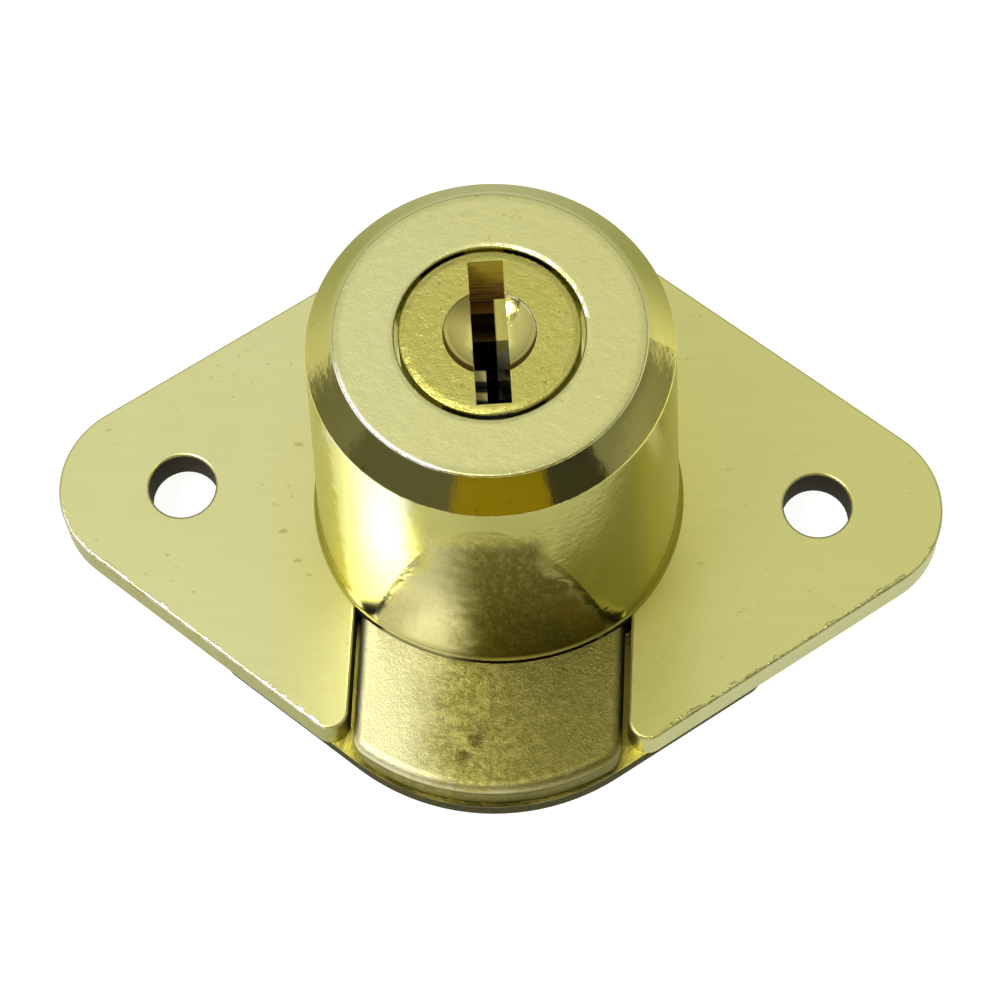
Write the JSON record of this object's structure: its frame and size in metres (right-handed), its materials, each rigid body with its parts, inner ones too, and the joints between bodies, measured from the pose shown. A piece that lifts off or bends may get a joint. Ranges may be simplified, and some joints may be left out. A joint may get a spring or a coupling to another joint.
{
  "type": "cupboard lock",
  "caption": "Cut-in cupboard lock: round nose with a wafer key plug on a diamond flange, and a bolt that slides out of the flange's edge.",
  "frame": {"origin": "on the nose's axis, at the rear face of the back plate", "axes": "+Z along the nose towards the key face, +X across the two screw holes, -Y the way the bolt comes out"},
  "size_m": [0.053, 0.0376, 0.0255],
  "materials": {
    "plated_case": "brass-plated zinc die casting, satin with worn bright edges",
    "plated_plate": "brass-plated steel plate, darker gold on its cut edges",
    "rivet_metal": "peened plated rivets",
    "plated_bolt": "grainy plated casting, rubbed bright at the rounded edges",
    "plated_plug": "plated casting with a glossy thumb dimple",
    "pin_steel": "ground steel",
    "wafer_brass": "stamped brass sheet",
    "spring_wire": "spring wire"
  },
  "bodies": {
    "case": {"case": "plated_case", "back_plate": "plated_plate", "plate_rivets": "rivet_metal"},
    "bolt": {"bolt": "plated_bolt"},
    "plug": {"plug": "plated_plug", "drive_pin": "pin_steel", "retaining_spring": "spring_wire", "wafer_spring_1": "spring_wire", "wafer_spring_2": "spring_wire", "wafer_spring_3": "spring_wire", "wafer_spring_4": "spring_wire", "wafer_spring_5": "spring_wire", "wafer_spring_6": "spring_wire"},
    "retainer": {"retaining_wafer": "wafer_brass"},
    "wafer_1": {"wafer_1": "wafer_brass"},
    "wafer_2": {"wafer_2": "wafer_brass"},
    "wafer_3": {"wafer_3": "wafer_brass"},
    "wafer_4": {"wafer_4": "wafer_brass"},
    "wafer_5": {"wafer_5": "wafer_brass"},
    "wafer_6": {"wafer_6": "wafer_brass"}
  },
  "joints": [
    {"name": "plug_turn", "type": "hinge", "parent": "case", "child": "plug", "pos_m": [0, 0, 0.0145], "axis": [0, 0, 1], "range_deg": [0, 180]},
    {"name": "bolt_slide", "type": "slide", "parent": "case", "child": "bolt", "axis": [0, -1, 0], "range_m": [0, 0.006]},
    {"name": "retainer_press", "type": "slide", "parent": "plug", "child": "retainer", "axis": [-0.1028, 0.9947, 0], "range_m": [0, 0.00065], "stiffness_N_per_m": 60, "deforming": ["retaining_spring"]},
    {"name": "wafer_1_lift", "type": "slide", "parent": "plug", "child": "wafer_1", "axis": [-0.1028, 0.9947, 0], "range_m": [0, 0.00055], "stiffness_N_per_m": 60, "springref_m": 0.00055, "deforming": ["wafer_spring_1"]},
    {"name": "wafer_2_lift", "type": "slide", "parent": "plug", "child": "wafer_2", "axis": [-0.1028, 0.9947, 0], "range_m": [0, 0.00055], "stiffness_N_per_m": 60, "springref_m": 0.00055, "deforming": ["wafer_spring_2"]},
    {"name": "wafer_3_lift", "type": "slide", "parent": "plug", "child": "wafer_3", "axis": [-0.1028, 0.9947, 0], "range_m": [0, 0.00055], "stiffness_N_per_m": 60, "springref_m": 0.00055, "deforming": ["wafer_spring_3"]},
    {"name": "wafer_4_lift", "type": "slide", "parent": "plug", "child": "wafer_4", "axis": [-0.1028, 0.9947, 0], "range_m": [0, 0.00055], "stiffness_N_per_m": 60, "springref_m": 0.00055, "deforming": ["wafer_spring_4"]},
    {"name": "wafer_5_lift", "type": "slide", "parent": "plug", "child": "wafer_5", "axis": [-0.1028, 0.9947, 0], "range_m": [0, 0.00055], "stiffness_N_per_m": 60, "springref_m": 0.00055, "deforming": ["wafer_spring_5"]},
    {"name": "wafer_6_lift", "type": "slide", "parent": "plug", "child": "wafer_6", "axis": [-0.1028, 0.9947, 0], "range_m": [0, 0.00055], "stiffness_N_per_m": 60, "springref_m": 0.00055, "deforming": ["wafer_spring_6"]}
  ],
  "couplings": [
    {"joint": "plug_turn", "follows": "bolt_slide", "rad_per_m": 523.6}
  ]
}
